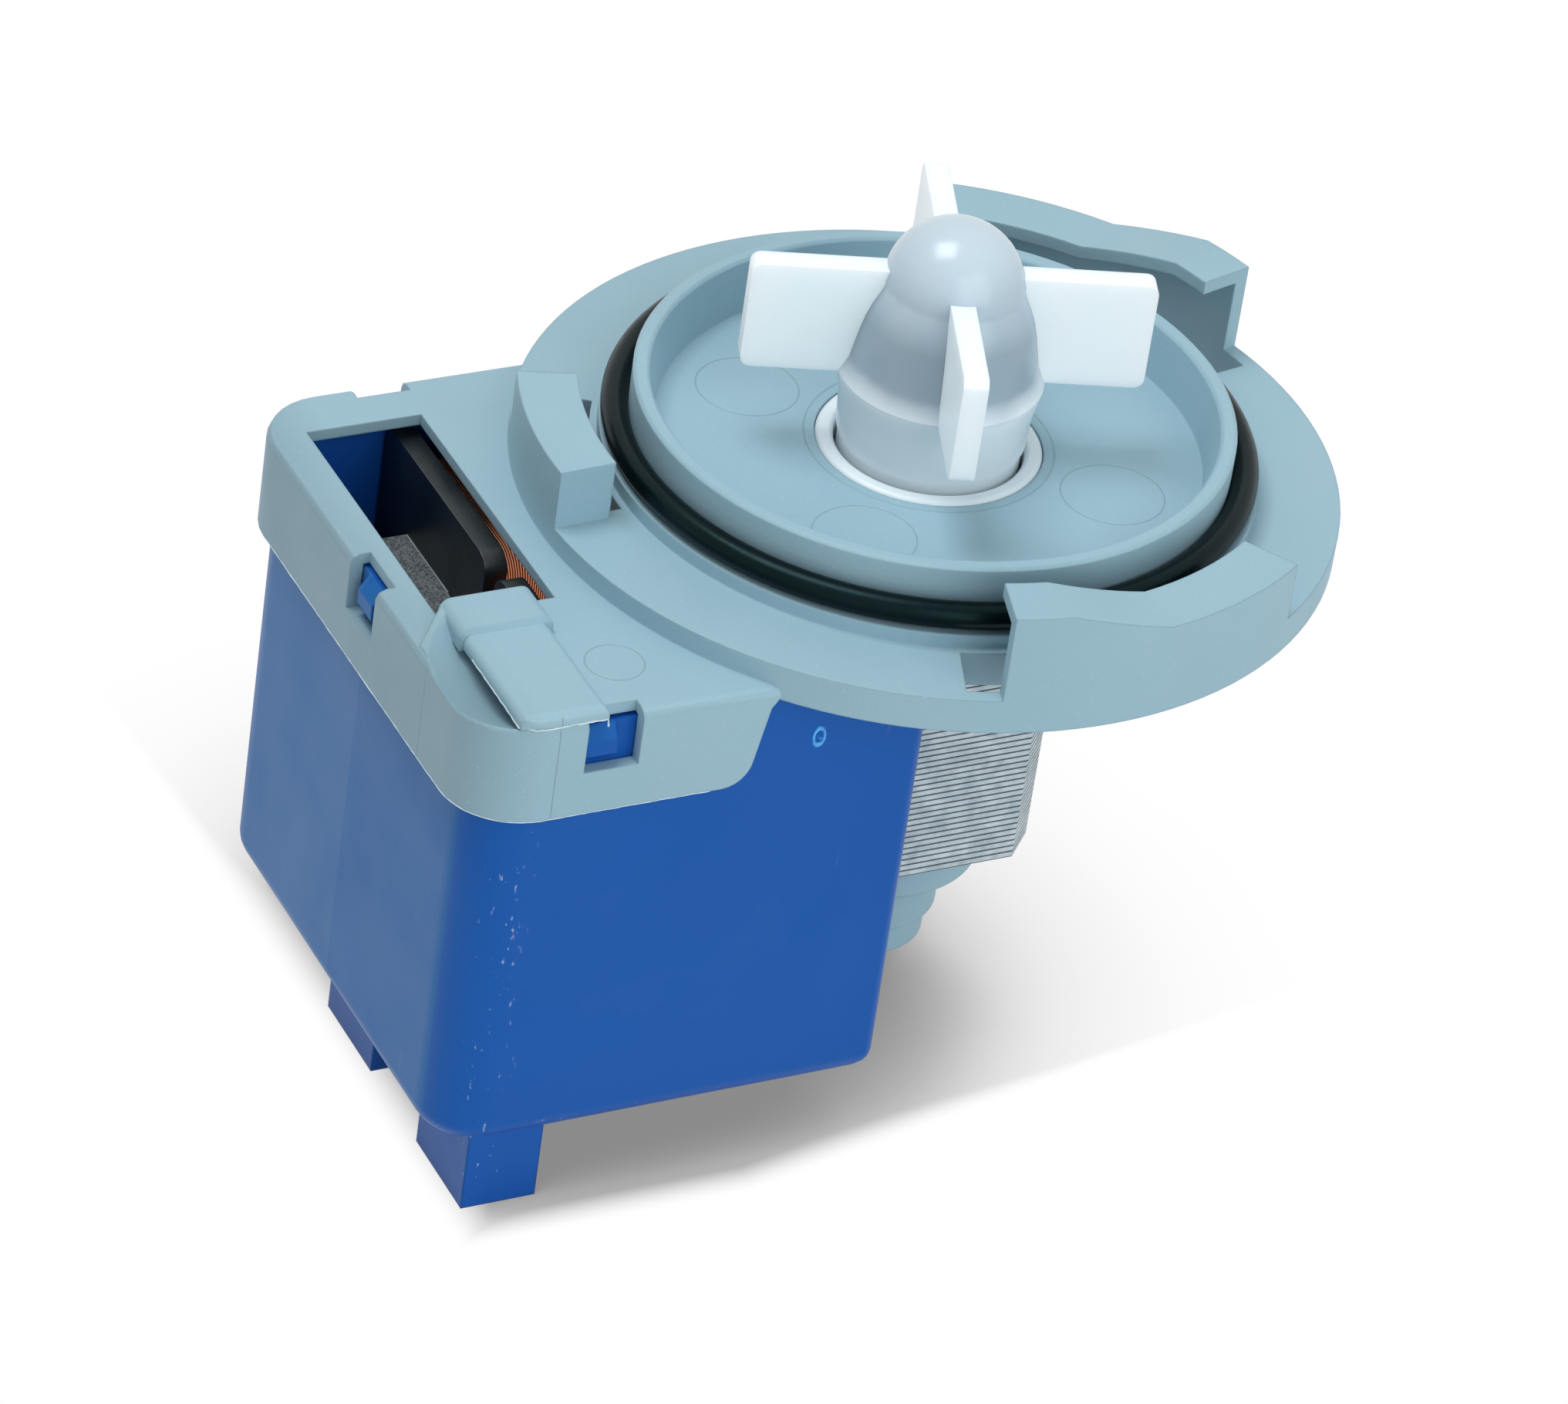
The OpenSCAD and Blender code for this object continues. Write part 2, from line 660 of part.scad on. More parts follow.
// Outer form of the hub: skirt, lip, a cone with a slight belly and a dome
function hub_outline() = concat([
    [0, skirt_z0], [hub_r, skirt_z0], [hub_r, carrier_top_z + 0.4],
    [hub_r + 0.3, carrier_top_z + 1.2],
    [hub_r + 0.5, blade_z0 - 3.2], [lip_r - 0.15, blade_z0 - 0.6], [lip_r, blade_z0 + 0.1],
    [lip_r - 0.4, blade_z0 + 0.8], [hub_r + 0.3, blade_z0 + 1.8], [hub_r + 0.05, blade_z0 + 3.2],
    [hub_r - 0.3, blade_z0 + 5], [hub_r - 0.7, blade_z0 + 6.6],
    [dome_r + 0.85, dome_centre_z - 1.5], [dome_r + 0.35, dome_centre_z - 0.4]
], arc_points(0, dome_centre_z, dome_r, 1, 90, 12));

module hub() {
    difference() {
        rotate_extrude() polygon(hub_outline());
        disc(hub_inner_r, skirt_z0 - 1, cavity_z1);
        difference() {
            translate([0, 0, cavity_z1 - eps])
                cylinder(r1 = hub_inner_r, r2 = dome_r - dome_wall, h = dome_z0 - cavity_z1);
            disc(post_r, cavity_z1 - 1, dome_z);
        }
        disc(bush_bore_r, skirt_z0 - 1, shaft_z1 + 0.4);
    }
}

// Side view of a blade. Its inner edge runs inside the wall of the hub.
function blade_outline() = concat(
    [[dome_r - 1.2, blade_z1], [hub_inner_r + 0.2, blade_z0]],
    arc_points(blade_tip_r - blade_corner_r, blade_z0 + blade_corner_r, blade_corner_r, -90, 0, 5),
    arc_points(blade_tip_r - blade_corner_r, blade_z1 - blade_corner_r, blade_corner_r, 0, 90, 5)
);

module blades() {
    for (i = [0:3]) rotate([90, 0, blade_start + i * 90])
        translate([0, 0, -blade_t / 2]) linear_extrude(blade_t) polygon(blade_outline());
}

// The stop inside the hub runs against the driver's dog at both ends of the free turn
module impeller() color("#e8f0f6") union() {
    hub();
    blades();
    rotate(blade_start) ring_sector(stop_r0, hub_inner_r + 0.3,
        dog_span + pad_span + play_gap, dog_span + pad_span + play_gap + stop_span,
        dog_z0 + 0.6, cavity_z1 + eps);
}

// Half of the core in plan: a leg and its pole, open round the rotor chamber
module core_leg_plan(side, inset) {
    scale([1, side]) difference() {
        polygon([
            [-yoke_right, leg_mid_y - leg_w / 2 + inset],
            [-pole_r + 1, leg_mid_y - leg_w / 2 + inset],
            [-pole_r + 1 + pole_slope, pole_split + inset], [core_end - inset, pole_split + inset],
            [core_end - inset, core_half_w - core_chamfer - inset * 0.4],
            [core_end - core_chamfer - inset * 0.4, core_half_w - inset],
            [-yoke_right, core_half_w - inset]
        ]);
        circle(r = pole_r + inset);
        rotate(side > 0 ? 0 : 90) square(pole_r + pole_step - pole_gap);
    }
}

module sheet_stack() {
    for (i = [0:sheets - 1])
        translate([0, 0, core_bottom_z + i * sheet_t + (i == 0 ? 0 : sheet_line / 2)])
            linear_extrude(sheet_t - sheet_line / (i == 0 || i == sheets - 1 ? 2 : 1)) children();
}

module core_leg(side) {
    union() {
        sheet_stack() core_leg_plan(side, 0);
        translate([0, 0, core_bottom_z + sheet_t / 2])
            linear_extrude(core_h - sheet_t) core_leg_plan(side, sheet_groove);
    }
}

module front_core_leg() color("#a4b0b6") core_leg(-1);

module back_core_leg() color("#a4b0b6") core_leg(1);

module yoke_plan(inset) {
    translate([-yoke_left + inset, -core_half_w + inset])
        square([yoke_w - inset, 2 * core_half_w - 2 * inset]);
}

module core_yoke() color("#6f767a") union() {
    sheet_stack() yoke_plan(0);
    translate([0, 0, core_bottom_z + sheet_t / 2])
        linear_extrude(core_h - sheet_t) yoke_plan(sheet_groove);
}

// Rectangle in the plane across a core leg, extruded along it
module leg_box(half_y, half_z, r, x0, x1) {
    translate([x0, leg_mid_y, core_mid_z]) rotate([90, 0, 90]) linear_extrude(x1 - x0)
        polygon(round_rect(-half_y, half_y, -half_z, half_z, r, 6));
}

module bobbin() {
    difference() {
        union() {
            for (x = [-bobbin_left, -bobbin_right - bobbin_t])
                leg_box(bobbin_half_w, bobbin_h / 2, bobbin_corner_r, x, x + bobbin_t);
            leg_box(tube_half_y, tube_half_z, 0.8, -bobbin_left + 1, -bobbin_right - 1);
        }
        leg_box(leg_w / 2 + fit_gap, core_h / 2 + fit_gap, 0.02, -bobbin_left - 1, -bobbin_right + 1);
    }
}

module coil() {
    x0 = -bobbin_left + bobbin_t + fit_gap;
    x1 = -bobbin_right - bobbin_t - fit_gap;
    difference() {
        leg_box(winding_half_y, winding_half_z, winding_corner_r, x0, x1);
        leg_box(tube_half_y + fit_gap, tube_half_z + fit_gap, 0.85, x0 - 1, x1 + 1);
    }
}

module back_bobbin() color("#20292b") bobbin();

module front_bobbin() color("#20292b") mirror([0, 1, 0]) bobbin();

module back_coil() color("#b0552c") coil();

module front_coil() color("#b0552c") mirror([0, 1, 0]) coil();

// Straight round wire between two points
module rod(p, q, r) let (d = q - p)
    translate(p) rotate([0, acos(d[2] / norm(d)), atan2(d[1], d[0])]) cylinder(r = r, h = norm(d));

module coil_link_wire() color("#b0552c") let (x = -bobbin_right - bobbin_t - 3)
    rod([x, -leg_mid_y, coil_bottom_z - lead_r - fit_gap],
        [x, leg_mid_y, coil_bottom_z - lead_r - fit_gap], lead_r);

module coil_leads() color("#b0552c") for (i = [0:1]) union() {
    rod([coil_left_x, lead_y[i], coil_bottom_z - fit_gap], [coil_left_x, lead_y[i], lead_z],
        lead_r - 0.05);
    rod([coil_left_x + lead_r, lead_y[i], lead_z], [terminal_x, terminal_y[i], lead_z], lead_r);
}

module thermal_cutout() color("#d8d4c4")
    translate([-(bobbin_left + bobbin_right + cutout_l) / 2, leg_mid_y - cutout_w / 2,
        coil_bottom_z - fit_gap - cutout_h]) cube([cutout_l, cutout_w, cutout_h]);

module spade(y) {
    translate([terminal_x - spade_t / 2, y - spade_w / 2, 0]) difference() {
        union() {
            translate([0, 0, spade_z0 + 1]) cube([spade_t, spade_w, spade_z1 - spade_z0 - 1]);
            translate([0, 1, spade_z0]) cube([spade_t, spade_w - 2, 2]);
        }
        translate([-1, spade_w / 2, spade_z0 + 3]) rotate([0, 90, 0]) cylinder(r = 0.9, h = 4, $fn = 24);
    }
}

module front_terminal() color("#c8b46a") spade(terminal_y[0]);

module back_terminal() color("#c8b46a") spade(terminal_y[1]);

module housing_solid(inset, z0, z1) {
    r = housing_corner_r - inset;
    e = max(housing_edge_r - inset, 0.6);
    x0 = -housing_left + inset;
    x1 = -housing_end - inset;
    y1 = housing_half_w - inset;
    right_r = 1.2;
    hull() {
        slab(concat(
            arc_points(x1 - right_r, y1 - right_r, right_r, 0, 90, 3),
            arc_points(x0 + r, y1 - r, r, 90, 180, 8),
            arc_points(x0 + r, -y1 + r, r, 180, 270, 8),
            arc_points(x1 - right_r, -y1 + right_r, right_r, 270, 360, 3)), z0 + e, z1);
        for (a = [15:15:90]) {
            d = e * (1 - cos(90 - a));
            slab(concat(
                arc_points(x1 - right_r - d, y1 - right_r - d, right_r, 0, 90, 3),
                arc_points(x0 + r, y1 - r, r - d, 90, 180, 8),
                arc_points(x0 + r, -y1 + r, r - d, 180, 270, 8),
                arc_points(x1 - right_r - d, -y1 + right_r + d, right_r, 270, 360, 3)),
                z0 + e * (1 - sin(90 - a)), z0 + e);
        }
    }
}

// Wedge that snaps into a window of the skirt. It points towards -Y.
module snap_tab() {
    translate([-tab_w / 2, 0, 0]) rotate([90, 0, 90]) linear_extrude(tab_w)
        polygon([[0.5, snap_z + 0.4], [0, snap_z + 0.4], [-tab_rise, snap_z + 1.4],
                 [-tab_rise, snap_z + 3], [0, housing_top_z], [0.5, housing_top_z]]);
}

module coil_housing() color("#2f5cab") difference() {
    union() {
        housing_solid(0, housing_z0, housing_top_z);
        for (y = terminal_y) translate([terminal_x - shroud_w / 2, y - shroud_l / 2, shroud_z0])
            cube([shroud_w, shroud_l, shroud_h + housing_edge_r]);
        translate([tab_x, -housing_half_w, 0]) snap_tab();
        mirror([0, 1, 0]) translate([tab_x, -housing_half_w, 0]) snap_tab();
        translate([-housing_left, snap_y, 0]) rotate(-90) snap_tab();
    }
    difference() {
        housing_solid(housing_wall, housing_z0 + housing_wall, housing_top_z + 1);
        pocket(cover_t + housing_gap + housing_wall);
    }
    pocket(cover_t + housing_gap);
    for (y = terminal_y) {
        translate([terminal_x - shroud_w / 2 + shroud_wall, y - shroud_l / 2 + shroud_wall,
            shroud_z0 - 1])
            cube([shroud_w - 2 * shroud_wall, shroud_l - 2 * shroud_wall, shroud_h + 1]);
        translate([terminal_x - spade_t / 2 - fit_gap, y - spade_w / 2 - fit_gap, housing_z0 - 1])
            cube([spade_t + 2 * fit_gap, spade_w + 2 * fit_gap, housing_wall + 2]);
    }
    translate([-housing_end - housing_wall - 1, -core_half_w - 0.2, core_bottom_z - 0.1])
        cube([housing_wall + 2, 2 * core_half_w + 0.4, housing_top_z - core_bottom_z + 2]);
}

head_moulding();
rotor_chamber();
flange_o_ring();
bearing_carrier();
carrier_seal();
front_bush();
rear_bush();
rear_bush_rubber();
rotor_shaft();
rotor_magnet();
rotor_sleeve();
front_end_plate();
rear_end_plate();
front_thrust_washer();
rear_thrust_washer();
coupling_driver();
coupling_damper();
impeller();
front_core_leg();
back_core_leg();
core_yoke();
front_bobbin();
back_bobbin();
front_coil();
back_coil();
coil_link_wire();
coil_leads();
thermal_cutout();
front_terminal();
back_terminal();
coil_housing();
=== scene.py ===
# %% [markdown]
# # A drain pump, dressed in Blender
# The solids of this pump come from a CAD model that is already packed. This lesson loads them
# as a fixed frame, gives every solid a material that behaves like the real one, and swaps the
# moulded pieces for copies with softened edges. Everything is in metres, with +Z along the
# pump's axis towards the impeller and the coil housing towards -X.

# %% Load the frame
import bpy
import json
import math
import random
from mathutils import Matrix, Vector

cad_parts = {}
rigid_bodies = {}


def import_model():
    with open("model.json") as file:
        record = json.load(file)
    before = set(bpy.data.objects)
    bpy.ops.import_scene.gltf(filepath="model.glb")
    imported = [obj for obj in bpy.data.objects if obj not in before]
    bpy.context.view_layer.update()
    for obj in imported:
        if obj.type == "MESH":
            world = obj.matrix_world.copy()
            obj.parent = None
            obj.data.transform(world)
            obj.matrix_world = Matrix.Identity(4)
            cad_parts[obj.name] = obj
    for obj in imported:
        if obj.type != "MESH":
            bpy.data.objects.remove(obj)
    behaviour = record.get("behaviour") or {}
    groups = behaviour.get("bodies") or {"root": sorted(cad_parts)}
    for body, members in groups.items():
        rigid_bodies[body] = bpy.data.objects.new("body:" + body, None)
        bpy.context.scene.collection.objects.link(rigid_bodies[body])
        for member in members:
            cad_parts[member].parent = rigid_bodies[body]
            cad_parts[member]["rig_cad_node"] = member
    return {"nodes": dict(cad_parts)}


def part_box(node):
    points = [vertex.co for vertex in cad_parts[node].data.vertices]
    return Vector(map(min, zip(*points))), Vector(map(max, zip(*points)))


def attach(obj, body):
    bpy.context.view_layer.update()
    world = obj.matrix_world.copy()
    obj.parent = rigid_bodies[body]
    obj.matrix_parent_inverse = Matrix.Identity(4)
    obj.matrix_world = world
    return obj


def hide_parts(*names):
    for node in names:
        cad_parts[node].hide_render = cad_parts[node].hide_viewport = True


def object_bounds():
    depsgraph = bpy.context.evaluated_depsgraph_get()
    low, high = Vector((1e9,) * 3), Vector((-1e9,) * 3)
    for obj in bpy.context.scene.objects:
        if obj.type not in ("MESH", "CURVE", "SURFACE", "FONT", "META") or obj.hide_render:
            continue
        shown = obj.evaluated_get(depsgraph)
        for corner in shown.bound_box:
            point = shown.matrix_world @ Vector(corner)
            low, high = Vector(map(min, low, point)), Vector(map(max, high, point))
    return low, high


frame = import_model()
cad_low, cad_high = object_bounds()
nodes = frame["nodes"]
scene = bpy.context.scene
print("solids loaded:", len(nodes), "box from", list(cad_low), "to", list(cad_high))

# %% [markdown]
# ## The camera
# The photograph was taken from the left and above with a long lens, which keeps the flange
# nearly an ellipse. The camera is set from its three axes instead of from Euler angles, because
# a slight roll is easier to read that way: the first column of the matrix is what lies to the
# right in the picture, the second is up, and the third points back to the viewer.

# %% Camera
def look_along(location, right, up, back):
    matrix = Matrix.Identity(4)
    for row in range(3):
        matrix[row][0] = right[row]
        matrix[row][1] = up[row]
        matrix[row][2] = back[row]
        matrix[row][3] = location[row]
    return matrix


camera_data = bpy.data.cameras.new("photo_camera")
camera_data.sensor_width = 36
camera_data.lens = 190.61
camera_data.clip_start = 0.05
camera_data.clip_end = 20
camera = bpy.data.objects.new("photo_camera", camera_data)
scene.collection.objects.link(camera)
camera.matrix_world = look_along(
    (-0.34428, -0.56851, 0.43403),
    (0.896716, -0.425154, 0.12306),
    (0.156667, 0.564927, 0.810132),
    (-0.413951, -0.707179, 0.573186),
)
scene.camera = camera
print("camera distance:", round(camera.location.length, 3), "m, lens", camera_data.lens, "mm")

# %% [markdown]
# ## Helpers for node trees
# World, floor and finishes are all made of shader nodes. A helper adds one node, joins it to
# what comes before and gives back its output, so that a finish reads as one nested line. A
# value may be a number or the output of another node. A tone is a hex code for a colour, or
# one number for a grey.

# %% Node helpers
def tone(value):
    if isinstance(value, (int, float)):
        return [value, value, value, 1]
    channels = [int(value[i:i + 2], 16) / 255 for i in (0, 2, 4)]
    return [c / 12.92 if c <= 0.04045 else ((c + 0.055) / 1.055) ** 2.4 for c in channels] + [1]


def set_inputs(tree, node, values):
    for name, value in values.items():
        if isinstance(value, bpy.types.NodeSocket):
            tree.links.new(value, node.inputs[name])
        else:
            node.inputs[name].default_value = value


def calculate(tree, operation, first, second=None):
    step = tree.nodes.new("ShaderNodeMath")
    step.operation = operation
    for socket, value in zip(step.inputs, (first, second)):
        if isinstance(value, (int, float)):
            socket.default_value = value
        elif value is not None:
            tree.links.new(value, socket)
    return step.outputs[0]


def ramp(tree, value, stops):
    band = tree.nodes.new("ShaderNodeValToRGB")
    while len(band.color_ramp.elements) < len(stops):
        band.color_ramp.elements.new(0.5)
    for element, (at, level) in zip(band.color_ramp.elements, stops):
        element.position = at
        element.color = tone(level)
    tree.links.new(value, band.inputs["Fac"])
    return band.outputs["Color"]


def mix_shaders(tree, amount, first, second):
    mix = tree.nodes.new("ShaderNodeMixShader")
    for socket, value in zip(mix.inputs, (amount, first, second)):
        tree.links.new(value, socket)
    return mix.outputs[0]


print("node helpers ready")

# %% [markdown]
# ## Places on the object
# Every pattern here is read from the object's own coordinates, in metres, so that it stays on
# the piece when the piece moves. One axis is enough for a band or an edge. A slope turns such a
# distance into a share from 0 to 1, and a peak is 1 on a line and falls to 0 beside it.

# %% Place helpers
def axis_place(tree, axis):
    where = tree.nodes.new("ShaderNodeTexCoord")
    split = tree.nodes.new("ShaderNodeSeparateXYZ")
    tree.links.new(where.outputs["Object"], split.inputs[0])
    return split.outputs[axis]


def distance(tree, first, second):
    return calculate(tree, "ABSOLUTE", calculate(tree, "SUBTRACT", first, second))


def slope(tree, value, zero_at, one_at):
    share = calculate(tree, "DIVIDE", calculate(tree, "SUBTRACT", value, zero_at), one_at - zero_at)
    return calculate(tree, "MINIMUM", calculate(tree, "MAXIMUM", share, 0), 1)


def peak(tree, off, width):
    share = calculate(tree, "SUBTRACT", 1, calculate(tree, "DIVIDE", off, width))
    return calculate(tree, "MAXIMUM", share, 0)


print("place helpers ready")

# %% [markdown]
# ## Light and background
# A product photograph on white has one large soft lamp and a lot of fill. The lamps and the
# world are kept at a plain level, at which a colour renders about as it is written. The white
# background is shown to camera, glossy and transmission rays only, so that it doesn't add
# light to the pump.

# %% World
def background(tree, colour, strength):
    sheet = tree.nodes.new("ShaderNodeBackground")
    set_inputs(tree, sheet, {"Color": colour, "Strength": strength})
    return sheet.outputs[0]


scene.view_settings.view_transform = "Standard"
world = bpy.data.worlds.new("studio")
scene.world = world
world.use_nodes = True
tree = world.node_tree
tree.nodes.clear()
rays = tree.nodes.new("ShaderNodeLightPath").outputs
seen = calculate(tree, "MAXIMUM", rays["Is Camera Ray"], rays["Is Glossy Ray"])
seen = calculate(tree, "MAXIMUM", seen, rays["Is Transmission Ray"])
fill_light = background(tree, (0.97, 0.985, 1, 1), 0.42)
white_sheet = background(tree, (1, 1, 1, 1), 1)
world_output = tree.nodes.new("ShaderNodeOutputWorld")
set_inputs(tree, world_output, {"Surface": mix_shaders(tree, seen, fill_light, white_sheet)})
print("world:", world.name)

# %% Lamps
def soft_lamp(name, place, target, size, power, colour):
    lamp = bpy.data.lights.new(name, "AREA")
    lamp.color = colour
    lamp.shape = "SQUARE"
    lamp.size = size
    lamp.energy = power
    holder = bpy.data.objects.new(name, lamp)
    scene.collection.objects.link(holder)
    holder.location = place
    holder.rotation_euler = (Vector(target) - Vector(place)).to_track_quat("-Z", "Y").to_euler()


pump_middle = (-0.01, 0, -0.01)
soft_lamp("key_lamp", (-0.22, 0.15, 0.82), pump_middle, 0.42, 4.2, (1, 1, 1))
soft_lamp("front_lamp", (0.12, -0.95, 0.42), pump_middle, 1.0, 5.8, (0.95, 0.985, 1))

# %% [markdown]
# ## The floor
# The floor is a wide pale plane under the two terminal shrouds. In a product photograph the
# floor is washed out to white, and only a soft shadow close to the object is left. So the
# camera sees a white floor that is darkened by ambient occlusion: the share of the sky over a
# point that nearby surfaces cover. The light comes from the left and the front, so the shadow
# ends soon on those two sides.
# Reflections show the same floor. All other rays see a plain matt floor, which throws its
# light back on the pump. From below the floor is transparent, so that the underside can be seen.

# %% Floor plane
floor_z = cad_low[2]
bpy.ops.object.select_all(action="DESELECT")
bpy.ops.mesh.primitive_plane_add(size=6, location=(0, 0, floor_z))
floor = bpy.context.object
floor.name = "studio_floor"
floor_paint = bpy.data.materials.new("pale_floor")
floor_paint.use_nodes = True
floor.data.materials.append(floor_paint)
print("floor at z =", round(floor_z, 4))

# %% Floor shadow
shadow_reach = 0.05
shadow_tones = [(0.3, 0.26), (0.4, 0.3), (0.48, 0.36), (0.56, 0.45), (0.62, 0.56), (0.68, 0.7),
                (0.76, 0.85), (0.88, 0.96), (0.96, 1)]
left_fade = (-0.0465, -0.056)
front_fade = (-0.0247, -0.0317)
bend_from = -0.025
bend_rate = 0.2


def lit_from(tree, value, dark_at, lit_at):
    lit = tree.nodes.new("ShaderNodeMapRange")
    lit.interpolation_type = "SMOOTHSTEP"
    set_inputs(tree, lit, {"Value": value, "From Min": dark_at, "From Max": lit_at,
                           "To Min": 0, "To Max": 1})
    return lit.outputs["Result"]


tree = floor_paint.node_tree
tree.nodes.clear()
cover = tree.nodes.new("ShaderNodeAmbientOcclusion")
cover.samples = 64
cover.inputs["Distance"].default_value = shadow_reach
shadow = ramp(tree, cover.outputs["AO"], shadow_tones)
left_side = lit_from(tree, axis_place(tree, "X"), *left_fade)
past_bend = calculate(tree, "SUBTRACT", axis_place(tree, "X"), bend_from)
bend = calculate(tree, "MULTIPLY", calculate(tree, "MAXIMUM", past_bend, 0), bend_rate)
front_side = lit_from(tree, calculate(tree, "SUBTRACT", axis_place(tree, "Y"), bend), *front_fade)
lit_sides = calculate(tree, "MAXIMUM", left_side, front_side)
print("shadow steps:", len(shadow_tones))

# %% Floor finish
white_floor = tree.nodes.new("ShaderNodeEmission")
set_inputs(tree, white_floor, {"Color": calculate(tree, "MAXIMUM", shadow, lit_sides)})
matt_floor = tree.nodes.new("ShaderNodeBsdfDiffuse")
set_inputs(tree, matt_floor, {"Color": tone(0.8)})
rays = tree.nodes.new("ShaderNodeLightPath").outputs
seen = calculate(tree, "MAXIMUM", rays["Is Camera Ray"], rays["Is Glossy Ray"])
top_side = mix_shaders(tree, seen, matt_floor.outputs[0], white_floor.outputs[0])
clear = tree.nodes.new("ShaderNodeBsdfTransparent").outputs[0]
from_below = tree.nodes.new("ShaderNodeNewGeometry").outputs["Backfacing"]
floor_output = tree.nodes.new("ShaderNodeOutputMaterial")
set_inputs(tree, floor_output, {"Surface": mix_shaders(tree, from_below, top_side, clear)})
print("floor finish:", floor_paint.name)

# %% [markdown]
# ## Helpers for materials
# Every finish here is made from the same few steps: noise read from the object's coordinates,
# a ramp that turns it into a colour or a roughness, and a bump. Object coordinates are in
# metres, so a noise scale of 2500 gives grains of about 0.4 mm. Mottle is the step that comes
# most often: noise that drifts between two close tones.

# %% Material helpers
def new_finish(name):
    finish = bpy.data.materials.new(name)
    finish.use_nodes = True
    return finish, finish.node_tree, finish.node_tree.nodes["Principled BSDF"]


def place_of(tree, stretch=(1, 1, 1)):
    where = tree.nodes.new("ShaderNodeTexCoord")
    mapping = tree.nodes.new("ShaderNodeMapping")
    set_inputs(tree, mapping, {"Scale": stretch, "Vector": where.outputs["Object"]})
    return mapping.outputs["Vector"]


def noise(tree, scale, detail=3, stretch=(1, 1, 1)):
    texture = tree.nodes.new("ShaderNodeTexNoise")
    set_inputs(tree, texture, {"Scale": scale, "Detail": detail, "Vector": place_of(tree, stretch)})
    return texture.outputs["Fac"]


def mottle(tree, scale, detail, dark, light, stretch=(1, 1, 1)):
    return ramp(tree, noise(tree, scale, detail, stretch), [(0.3, dark), (0.7, light)])


def blend_colours(tree, amount, first, second):
    mix = tree.nodes.new("ShaderNodeMix")
    mix.data_type = "RGBA"
    tree.links.new(amount, mix.inputs[0])
    for socket, colour in ((mix.inputs[6], first), (mix.inputs[7], second)):
        if isinstance(colour, bpy.types.NodeSocket):
            tree.links.new(colour, socket)
        else:
            socket.default_value = tone(colour)
    return mix.outputs[2]


def bump(tree, height, depth, strength=1.0, after=None):
    relief = tree.nodes.new("ShaderNodeBump")
    set_inputs(tree, relief, {"Distance": depth, "Strength": strength, "Height": height})
    if after is not None:
        tree.links.new(after, relief.inputs["Normal"])
    return relief.outputs["Normal"]


def rounded_normal(tree, radius):
    bevel = tree.nodes.new("ShaderNodeBevel")
    bevel.samples = 6
    bevel.inputs["Radius"].default_value = radius
    return bevel.outputs["Normal"]


def finish_node(names, finish):
    for name in names:
        for material_slot in nodes[name].material_slots:
            material_slot.material = finish
    print(finish.name, "on", ", ".join(names))


print("material helpers ready")

# %% [markdown]
# ## Grey-blue moulding
# The head is moulded in a filled plastic: matt, with a fine grain that shows best on the rim,
# slightly cloudy, with a few pale specks. Painted shade makes it a little darker towards the
# cover's far end. On its floors, thin round lines stay where the ejector pins of the mould push.
# They are drawn
# here as lines at a fixed distance from each pin's centre, which costs no geometry. Two
# straight lines on the skirt show where the parts of the mould meet. A Bevel node rounds the
# edges in the shading only.

# %% Marks of the mould
pin_line_width = 0.00011
joint_line_width = 0.00008
cup_floor = (0.0012, 0.0024)
cover_floor = (-0.0026, -0.0018)
pins = [(x, y, 0.005, *cup_floor)
        for x, y in ((0.0132, -0.013), (-0.0132, -0.013), (-0.0132, 0.013), (0.0132, 0.013))]
pins += [(0, 0, 0.0121, *cup_floor), (-0.0419, -0.0204, 0.0028, *cover_floor)]
joints = [("Y", -0.0158, "X", -0.0586), ("X", -0.0507, "Y", -0.0281)]


def round_line(tree, centre_x, centre_y, radius, low_z, high_z):
    dx = calculate(tree, "SUBTRACT", axis_place(tree, "X"), centre_x)
    dy = calculate(tree, "SUBTRACT", axis_place(tree, "Y"), centre_y)
    square = calculate(tree, "ADD", calculate(tree, "MULTIPLY", dx, dx),
                       calculate(tree, "MULTIPLY", dy, dy))
    line = peak(tree, distance(tree, calculate(tree, "SQRT", square), radius), pin_line_width)
    for side, limit in (("GREATER_THAN", low_z), ("LESS_THAN", high_z)):
        inside = calculate(tree, side, axis_place(tree, "Z"), limit)
        line = calculate(tree, "MULTIPLY", line, inside)
    return line


def straight_line(tree, axis, at, side, limit):
    line = peak(tree, distance(tree, axis_place(tree, axis), at), joint_line_width)
    return calculate(tree, "MULTIPLY", line,
                     calculate(tree, "LESS_THAN", axis_place(tree, side), limit))


# %% Grey-blue moulding
end_shade_from = -0.052
end_shade_to = -0.059
head_finish, tree, shader = new_finish("grey_blue_moulding")
# painted shade: the colour darkens towards the cover's far end, as if less light fell there
painted_end_shade = slope(tree, axis_place(tree, "X"), end_shade_from, end_shade_to)
head_colour = blend_colours(tree, calculate(tree, "MULTIPLY", painted_end_shade, 0.8),
                            mottle(tree, 38, 4, "8fb1bf", "96b7c4"), "7d9ba8")
speck = ramp(tree, noise(tree, 3200, 1), [(0.68, 0), (0.8, 0.25)])
head_colour = blend_colours(tree, speck, head_colour, "c9dade")
lines = [round_line(tree, *pin) for pin in pins]
lines += [straight_line(tree, *joint) for joint in joints]
marks = lines[0]
for line in lines[1:]:
    marks = calculate(tree, "MAXIMUM", marks, line)
head_colour = blend_colours(tree, calculate(tree, "MULTIPLY", marks, 0.42), head_colour, "6f8f9c")
grain = bump(tree, noise(tree, 2300, 2), 0.00006, 0.5, rounded_normal(tree, 0.0003))
